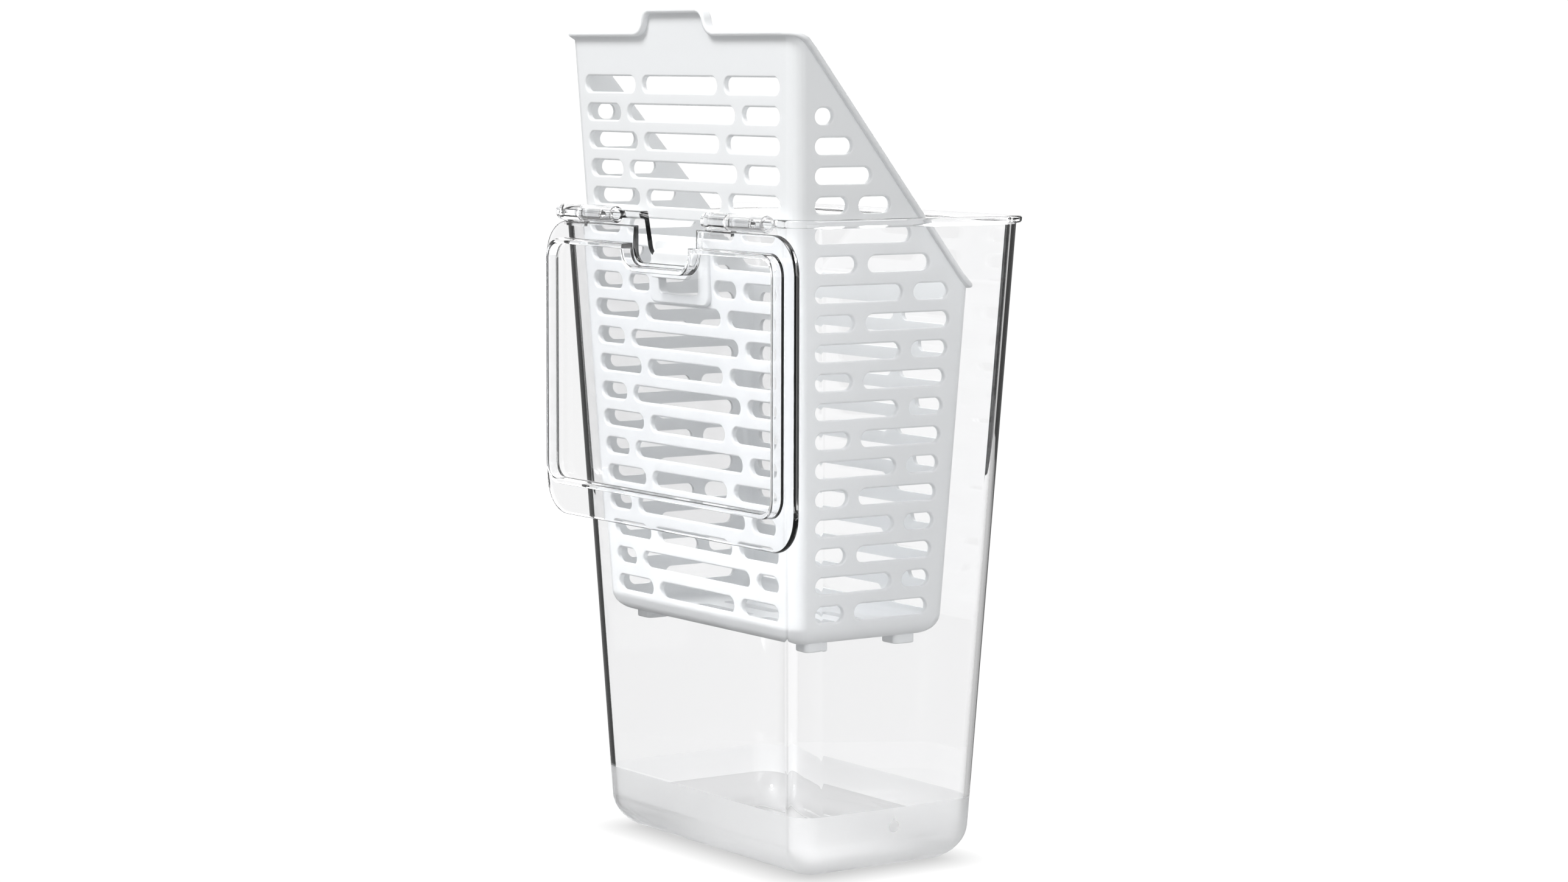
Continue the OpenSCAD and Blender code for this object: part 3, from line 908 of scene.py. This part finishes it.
def slottedPlate(loops, rows, height, bevel):
    # loops are outlines of (u, v) points; rows are slots as (from, to, height)
    data = bpy.data.meshes.new("plate")
    verts = []
    edges = []
    for loop in loops:
        first = len(verts)
        verts += [(u, v, 0) for u, v in loop]
        edges += [(first + i, first + (i + 1) % len(loop)) for i in range(len(loop))]
    reaches = [-1.0] * len(verts)
    radius = height / 2
    for low, high, h in rows:
        verts.append(((low + high) / 2, h, 0))
        reaches.append(max(0.0, (high - low) / 2 - radius))
    data.from_pydata(verts, edges, [])
    data.attributes.new("reach", "FLOAT", "POINT").data.foreach_set("value", reaches)
    plate = bpy.data.objects.new("plate", data)
    scene.collection.objects.link(plate)
    nodes = plate.modifiers.new("slots", "NODES")
    nodes.node_group = wallTree
    sizes = {"Slot radius": radius, "Bevel": bevel, "Thickness": tray["wall"], "End points": slots["sides"],
             "Bevel steps": slots["bevelSteps"], "Material": whiteMaterial}
    for item in wallTree.interface.items_tree:
        if item.in_out == "INPUT" and item.name in sizes:
            nodes[item.identifier] = sizes[item.name]
    bakeModifiers(plate)
    made = plate.data
    bpy.data.objects.remove(plate)
    return made


def frontRows(count, hasBoss):
    rows = []
    beside = hook["bossWidth"] / 2 + hook["bossWeb"]
    for i in range(count):
        h = slots["firstRow"] + i * slots["pitch"]
        end = halfX(h) - slots["margin"]
        middle = slots["middleOdd"] if i % 2 == 0 else slots["middleEven"]
        meets = hasBoss and abs(h - bossMiddle) < (bossHeight + slots["height"]) / 2 - hook["bossOver"]
        parted = not meets or middle - beside > slots["shortest"]
        if not meets:
            rows.append((-middle, middle, h))
        for side in (-1, 1):
            spans = [(middle + slots["web"] if parted else beside, end)]
            if meets and parted:
                spans.append((beside, middle))
            rows += [tuple(sorted((side * a, side * b))) + (h,) for a, b in spans]
    return rows


def sideRows():
    rows = []
    for i in range(slots["rows"] - 1):
        h = slots["firstRow"] + i * slots["pitch"]
        low = -halfY(h) + slots["margin"]
        high = min(halfY(h) - slots["margin"], slopeAt(h + slots["height"] / 2) - slots["slopeMargin"])
        web = min(-slots["sideWeb"], (low + high) / 2) if i % 2 == 0 else slots["sideWeb"]
        half = slots["web"] / 2
        if min(web - low, high - web) - half > slots["shortest"]:
            rows += [(low, web - half, h), (web + half, high, h)]
        else:
            rows.append((low, max(high, low + slots["height"]), h))
    return rows


def floorRows():
    rows = []
    count = slots["floorRows"]
    for k in range(count):
        y = -tray["footY"] + 2 * tray["footY"] * k / (count - 1)
        for side in (-1, 1):
            rows.append((*sorted((side * slots["web"], side * (slots["web"] + slots["floorLength"]))), y))
    return rows


# where the plates go: u along a wall, v up it and w outwards
frontPlace = Matrix(((1, 0, 0, 0), (0, -slopeY, -1, -trayDepth / 2), (0, 1, 0, 0), (0, 0, 0, 1)))
backPlace = Matrix(((-1, 0, 0, 0), (0, slopeY, 1, trayDepth / 2), (0, 1, 0, 0), (0, 0, 0, 1)))
rightPlace = Matrix(((0, slopeX, 1, trayWidth / 2), (1, 0, 0, 0), (0, 1, 0, 0), (0, 0, 0, 1)))
leftPlace = Matrix(((0, -slopeX, -1, -trayWidth / 2), (1, 0, 0, 0), (0, 1, 0, 0), (0, 0, 0, 1)))
floorPlace = Matrix(((1, 0, 0, 0), (0, -1, 0, 0), (0, 0, -1, 0), (0, 0, 0, 1)))
wallTop = tray["flange"] / 2  # the walls end inside the flange


def topPoint(oneFrame, inward=0.0):
    # a point of the wall's top edge, on the outer face or inward of it
    part, point, out, down = oneFrame
    p = point + down * wallTop
    if part == "front":
        return Vector((p.x, inward - halfY(p.z), p.z))
    if part == "side":
        return Vector((out.x * (halfX(p.z) - inward), p.y, p.z))
    r = tray["corner"]
    signX = math.copysign(1, point.x)
    signY = math.copysign(1, point.y)
    middle = Vector((signX * (halfX(p.z) - r), signY * (halfY(p.z) - r), p.z))
    return middle + out * (r - inward)


def partFrames(part, side=0):
    # the frames of a part of the rim, on one side or on both
    return [f for f in loopFrames if f[0] == part and (side == 0 or f[1].x * side > 0)]


trayRing = partial(draftedRing, trayWidth, trayDepth, tray["cornerSteps"])


def windowOutline(grow):
    half = hook["width"] / 2 + grow
    high = hook["height"] + grow
    low = hook["height"] - hook["window"] - grow
    ring = ringPoints(2 * half, high - low, hook["windowCorner"] + grow, 0, 5)
    return [(p.x, p.y + (high + low) / 2) for p in ring]


def windowRing(grow, w):
    return [frontPlace @ Vector((u, v, w)) for u, v in windowOutline(grow)]


def basketShell():
    shape = bmesh.new()
    r = tray["corner"]
    wall = tray["wall"]
    foot = tray["baseRadius"]
    flatX = halfX(foot) - r
    flatY = halfY(foot) - r
    rightFront, leftFront = (partFrames("frontCorner", side) for side in (1, -1))
    rightBack, leftBack = (partFrames("backCorner", side) for side in (1, -1))

    def outline(flat, frames, axis, sign=1):
        # of a flat plate between the corner columns of the rim
        tops = [topPoint(f) for f in frames[::-1]]
        return [(-flat, foot), (flat, foot)] + [(sign * p[axis], p.z) for p in tops]

    frontLoop = outline(flatX, [leftFront[-1]] + partFrames("front") + [rightFront[0]], 0)
    backLoop = outline(flatX, [rightBack[-1], leftBack[0]], 0, -1)
    sideLoop = outline(flatY, [rightFront[-1]] + partFrames("side", 1) + [rightBack[0]], 1)
    floorSize = (trayWidth - 2 * foot, trayDepth - 2 * foot)
    floorLoop = [(p.x, p.y) for p in ringPoints(*floorSize, box["leastCorner"], 0, tray["cornerSteps"])]

    backTall = tray["backHeight"] - tray["flange"] - slots["height"] - slots["firstRow"]
    backCount = int(backTall / slots["pitch"]) + 1
    frontLoops = [frontLoop, windowOutline(hook["windowInWall"])]
    tall = (slots["height"], slots["bevel"])
    plates = (
        (frontPlace, frontLoops, frontRows(slots["rows"], True), tall),
        (backPlace, [backLoop], frontRows(backCount, False), tall),
        (rightPlace, [sideLoop], sideRows(), tall),
        (leftPlace, [sideLoop], sideRows(), tall),
        (floorPlace, [floorLoop], floorRows(), (slots["floorHeight"], slots["floorBevel"])),
    )
    for place, loops, rows, sizes in plates:
        data = slottedPlate(loops, rows, *sizes)
        data.transform(place)
        shape.from_mesh(data)
        bpy.data.meshes.remove(data)

    # the lining of the window, and the round base, outside and inside
    loftRings(shape, [windowRing(hook["windowInWall"], w) for w in (0, -wall)])
    steps = tray["baseSteps"]
    for rows in (baseRows(foot, r, 0, 0, steps), baseRows(foot - wall, r - wall, wall, wall, steps)):
        rings = [trayRing(*row) for row in rows]
        rings[0] = [Vector((x, y, rows[0][1])) for x, y in floorLoop]
        loftRings(shape, rings)

    # the corners up to the rim
    corners = ((rightFront, -90, 1, -1), (rightBack, 0, 1, 1),
               (leftBack, 90, -1, 1), (leftFront, 180, -1, -1))
    for frames, first, sx, sy in corners:
        for inward in (0.0, wall):
            turns = arcPoints(sx * flatX, sy * flatY, r - inward, first, first + 90, tray["cornerSteps"])
            low = [shape.verts.new((x, y, foot)) for x, y in turns]
            high = [shape.verts.new(topPoint(f, inward)) for f in frames]
            for i in range(len(low) - 1):
                shape.faces.new((low[i], low[i + 1], high[i + 1], high[i]))

    # the top edge between the outer and the inner faces
    for i, f in enumerate(loopFrames):
        g = loopFrames[(i + 1) % len(loopFrames)]
        quad = [topPoint(f), topPoint(g), topPoint(g, wall), topPoint(f, wall)]
        shape.faces.new([shape.verts.new(p) for p in quad])

    bmesh.ops.remove_doubles(shape, verts=shape.verts, dist=tray["weld"])
    bmesh.ops.recalc_face_normals(shape, faces=shape.faces)
    loose = sum(1 for e in shape.edges if len(e.link_faces) != 2)
    print("basket shell:", len(shape.faces), "faces,", loose, "open edges")
    return shape


def flangeShape():
    # the rolled edge that runs round the rim and over the tab
    thick = tray["flange"]
    r = thick / 2
    small = tray["flangeRound"]
    inner = -tray["wall"] + tray["flangeLap"]
    section = arcPoints(tray["flangeOut"] - r, r, r, -90, 90, 8)
    section += [(inner, thick)] + arcPoints(inner + small, small, small, 180, 270, 4)
    rings = [[point + out * o + down * d for o, d in section] for part, point, out, down in loopFrames]
    return loftedSolid(rings, wrap=True)


def bossShape():
    # a raised plate around the window, solid through the wall
    top = hook["boss"]
    r = hook["bossRound"]
    small = hook["windowRound"]
    lap = hook["windowLap"]
    inWall = -tray["wall"] * 0.5
    under = -tray["wall"] - hook["bossLap"]

    def bossRing(inset, w):
        width = hook["bossWidth"] - 2 * inset
        ring = ringPoints(width, bossHeight - 2 * inset, hook["bossCorner"] - inset, 0, 5)
        return [frontPlace @ Vector((p.x, p.y + bossMiddle, w)) for p in ring]

    rings = [bossRing(0, inWall), bossRing(0, top - r)]
    rings += [bossRing(inset, w) for inset, w in arcPoints(r, top - r, r, 180, 90, 4)[1:]]
    rings += [windowRing(small - g, w) for g, w in arcPoints(0, top - small, small, 90, 0, 3)]
    rings += [windowRing(0, under), windowRing(lap, under), windowRing(lap, inWall)]
    return loftedSolid(rings, wrap=True)


def hookShape():
    # a shelf over the notch and a leg in front of the wall, lofted along its width
    wallFace = -wallY(box["height"] - box["notchDepth"]) - raisedY
    legBack = wallFace - hook["clearance"]
    legFront = legBack - hook["leg"]
    seat = hook["height"]
    back = -halfY(seat) - hook["boss"] + tray["wall"]
    r = hook["corner"]
    half = hook["width"] / 2
    ease = hook["ease"]
    small = hook["backEase"]
    turn = [math.radians(90 * k / 5) for k in range(6)]
    stations = [(half - r + r * math.sin(a), r - r * math.cos(a)) for a in turn]
    stations = [(-x, drop) for x, drop in stations[::-1]] + stations
    rings = []
    for x, drop in stations:
        high = seat + hook["shelf"] - drop
        foot = seat - hook["reach"] + drop
        bend = min(hook["leg"], high - foot)
        section = [(back, seat), (back, max(high, seat + hook["leastShelf"]))]
        section += arcPoints(legFront + bend, high - bend, bend, 90, 180, 6)
        section += [(legFront, foot + ease), (legFront + ease, foot)]
        section += [(legBack - small, foot), (legBack, foot + small), (legBack, seat)]
        rings.append([Vector((x, y, z)) for y, z in section])
    return loftedSolid(rings)


def footShape():
    shape = bmesh.new()
    r = tray["footRound"]
    profile = arcPoints(r, r - tray["footHeight"], r, 270, 180, 3) + [(0, tray["footRoot"])]
    for sx in (-1, 1):
        for sy in (-1, 1):
            rings = []
            for inset, z in profile:
                size = tray["footSize"] - 2 * inset
                ring = ringPoints(size, size, tray["footCorner"] - inset, z, 5)
                rings.append([p + Vector((sx * tray["footX"], sy * tray["footY"], 0)) for p in ring])
            loftRings(shape, rings, True)
    return shape


def buildBasket():
    piece = newObject("whiteBasket", basketShell(), [whiteMaterial])
    combine(piece, (flangeShape(), bossShape(), hookShape(), footShape()), "UNION", whiteMaterial)
    return finishPiece(piece, Matrix.Translation((0, raisedY, raisedZ)))


basket = buildBasket()
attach(basket, "basket")
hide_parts("basket")
print("basket built:", len(basket.data.polygons), "faces")


# Studio: a white floor and surround, three soft lamps, and dark cards far off for the clear edges

studio = {
    "floor": 14.0,
    "floorDrop": 0.0002,
    "floorShader": {"Base Color": (0.3, 0.3, 0.302, 1.0), "Roughness": 0.7, "Specular IOR Level": 0.2},
    "contact": 0.42,  # how much the floor darkens under the container
    "contactReach": 0.014,
    "seen": 1.05,  # surround and floor as seen directly or through the clear walls
    "mirrored": 0.3,  # surround and floor as the clear faces mirror them
    "light": (0.3, 0.6),  # surround as a light, from the sides and from above
    "inside": (0.2, 0.4),  # the same through the clear walls
    "lightSpan": (-0.1, 1.0),
    "edge": (0.04, 1.1),  # surround as the clear edges turn it, from the dark side and elsewhere
    "edgeAxis": (1.0, 0.0, 0.9),
    "edgeSpan": (-0.85, -0.25),
    "edgeFloor": (0.04, 0.6),
    "dark": 0.02,  # far dark cards, seen only through the clear walls
    "darkAxis": 55.36,
    "darkSectors": ((-70, -43), (-27, -12), (18, 47), (63, 80)),  # degrees from that axis, left to right
    "darkTop": 0.1,
    "darkFrom": 1.1,
    # where a lamp's light comes from, its strength and its spread in degrees
    "keyLight": ((-0.1, -0.6, 0.8), 2.95, 25.0),
    "sideLight": ((0.95, -0.15, 0.12), 1.25, 50.0),
    "backLight": ((-0.7, 0.6, 0.4), 1.4, 60.0),
}


def darkSectorGroup():
    # one where a direction from the object lies in the sectors of the far dark cards
    tree, start, end = newGroup("darkSectors", "ShaderNodeTree", {"Direction": "Vector"}, {"Mask": 0.0})
    a = math.radians(studio["darkAxis"])
    axes = ((math.cos(a), math.sin(a), 0.0), (-math.sin(a), math.cos(a), 0.0))
    sides = [vectorCalc(tree, "DOT_PRODUCT", start["Direction"], axis) for axis in axes]
    angle = calc(tree, "ARCTAN2", *sides)
    mask = 0.0
    for low, high in studio["darkSectors"]:
        middle = math.radians((low + high) / 2)
        inside = calc(tree, "COMPARE", angle, middle, math.radians((high - low) / 2))
        mask = calc(tree, "MAXIMUM", mask, inside)
    tree.links.new(mask, end["Mask"])
    return tree


sectorGroup = darkSectorGroup()


def evenLight(tree, kind, strength):
    return addNode(tree, kind, {"Color": (1.0, 1.0, 1.0, 1.0), "Strength": strength}).outputs[0]


def seenLayers(tree, kind, lowest, white, toward, cardLimit, edge):
    # over the lowest shader: the studio as the clear faces mirror it, as it is seen straight or
    # through the walls, as the clear edges turn it, and the dark cards far beyond the walls
    work = partial(calc, tree)
    path = addNode(tree, "ShaderNodeLightPath").outputs
    through = path["Is Transmission Ray"]
    first = work("LESS_THAN", path["Diffuse Depth"], 0.5)
    mirrored = work("MULTIPLY", path["Is Glossy Ray"], path["Is Reflection Ray"])
    seen = work("MULTIPLY", work("MAXIMUM", path["Is Camera Ray"], through), first)
    beyond = work("MULTIPLY", through, first)
    turned = work("MULTIPLY", beyond, work("GREATER_THAN", path["Glossy Depth"], 0.5))
    sectors = addNode(tree, "ShaderNodeGroup", {"Direction": toward}, node_tree=sectorGroup).outputs[0]
    dark = work("MULTIPLY", work("MULTIPLY", sectors, cardLimit), beyond)
    edgeward = vectorCalc(tree, "DOT_PRODUCT", toward, studio["edgeAxis"])
    edgeLight = softRise(tree, edgeward, *studio["edgeSpan"], *edge)
    layers = ((studio["mirrored"], mirrored), (white, seen), (edgeLight, turned), (studio["dark"], dark))
    return layered(tree, lowest, *((evenLight(tree, kind, strength), mask) for strength, mask in layers))


def studioWorld():
    world = bpy.data.worlds.new("surround")
    world.use_nodes = True
    scene.world = world
    tree = world.node_tree
    tree.nodes.clear()
    kind = "ShaderNodeBackground"
    toward = addNode(tree, "ShaderNodeTexCoord").outputs["Generated"]
    upward = vectorCalc(tree, "DOT_PRODUCT", toward, (0.0, 0.0, 1.0))
    rises = [softRise(tree, upward, *studio["lightSpan"], *studio[name]) for name in ("light", "inside")]
    light, inside = (evenLight(tree, kind, rise) for rise in rises)
    through = addNode(tree, "ShaderNodeLightPath").outputs["Is Transmission Ray"]
    lowest = layered(tree, light, (inside, through))
    low = calc(tree, "LESS_THAN", upward, studio["darkTop"])
    result = seenLayers(tree, kind, lowest, studio["seen"], toward, low, studio["edge"])
    addNode(tree, "ShaderNodeOutputWorld", {"Surface": result})


def studioFloor():
    # lit as a pale floor, but seen as white with a soft shade where the container touches it
    material = bpy.data.materials.new("paleFloor")
    material.use_nodes = True
    tree = material.node_tree
    shader = tree.nodes["Principled BSDF"]
    fillSockets(tree, shader, studio["floorShader"])
    near = addNode(tree, "ShaderNodeAmbientOcclusion", {"Distance": studio["contactReach"]}, samples=8)
    darkest = studio["seen"] * (1 - studio["contact"])
    limits = {"Value": near.outputs["AO"], "To Min": darkest, "To Max": studio["seen"]}
    white = addNode(tree, "ShaderNodeMapRange", limits).outputs["Result"]
    place = addNode(tree, "ShaderNodeTexCoord").outputs["Object"]
    toward = vectorCalc(tree, "NORMALIZE", place)
    far = calc(tree, "GREATER_THAN", vectorCalc(tree, "LENGTH", place), studio["darkFrom"])
    kind = "ShaderNodeEmission"
    result = seenLayers(tree, kind, shader.outputs[0], white, toward, far, studio["edgeFloor"])
    tree.links.new(result, tree.nodes["Material Output"].inputs["Surface"])
    shape = bmesh.new()
    bmesh.ops.create_grid(shape, x_segments=1, y_segments=1, size=studio["floor"] / 2)
    floor = newObject("paleFloor", shape, [material])
    floor.location.z = -studio["floorDrop"]


def farLight(name, source, strength, spread):
    # an even soft light from far off
    data = bpy.data.lights.new(name, "SUN")
    data.energy = strength
    data.angle = math.radians(spread)
    lamp = bpy.data.objects.new(name, data)
    lamp.rotation_euler = Vector(source).to_track_quat("Z", "Y").to_euler()
    scene.collection.objects.link(lamp)


studioWorld()
studioFloor()
for lampName in ("keyLight", "sideLight", "backLight"):
    farLight(lampName, *studio[lampName])
print("studio set")


# Camera at the photograph's place

view = {
    "place": (1.1692, -0.8093, 0.2968),
    "azimuth": 55.36,
    "tilt": 5.77,
    "roll": 0.147,
    "lens": 87.11,
    "sensor": 36.0,
    "clip": (0.05, 50.0),
}


def makeCamera():
    a, t, r = (math.radians(view[name]) for name in ("azimuth", "tilt", "roll"))
    look = Vector((-math.sin(a) * math.cos(t), math.cos(a) * math.cos(t), -math.sin(t)))
    flat = Vector((math.cos(a), math.sin(a), 0))
    rise = flat.cross(look)
    right = math.cos(r) * flat + math.sin(r) * rise
    up = math.cos(r) * rise - math.sin(r) * flat
    data = bpy.data.cameras.new("photoCamera")
    data.sensor_width = view["sensor"]
    data.lens = view["lens"]
    data.clip_start, data.clip_end = view["clip"]
    camera = bpy.data.objects.new("photoCamera", data)
    turn = Matrix((right, up, -look)).transposed().to_4x4()
    camera.matrix_world = Matrix.Translation(view["place"]) @ turn
    scene.collection.objects.link(camera)
    scene.camera = camera


makeCamera()
scene.view_settings.view_transform = "Standard"
scene.cycles.max_bounces = 24  # light turns many times inside the clear edges
scene.cycles.glossy_bounces = 16
scene.cycles.transmission_bounces = 24
scene.cycles.transparent_max_bounces = 24
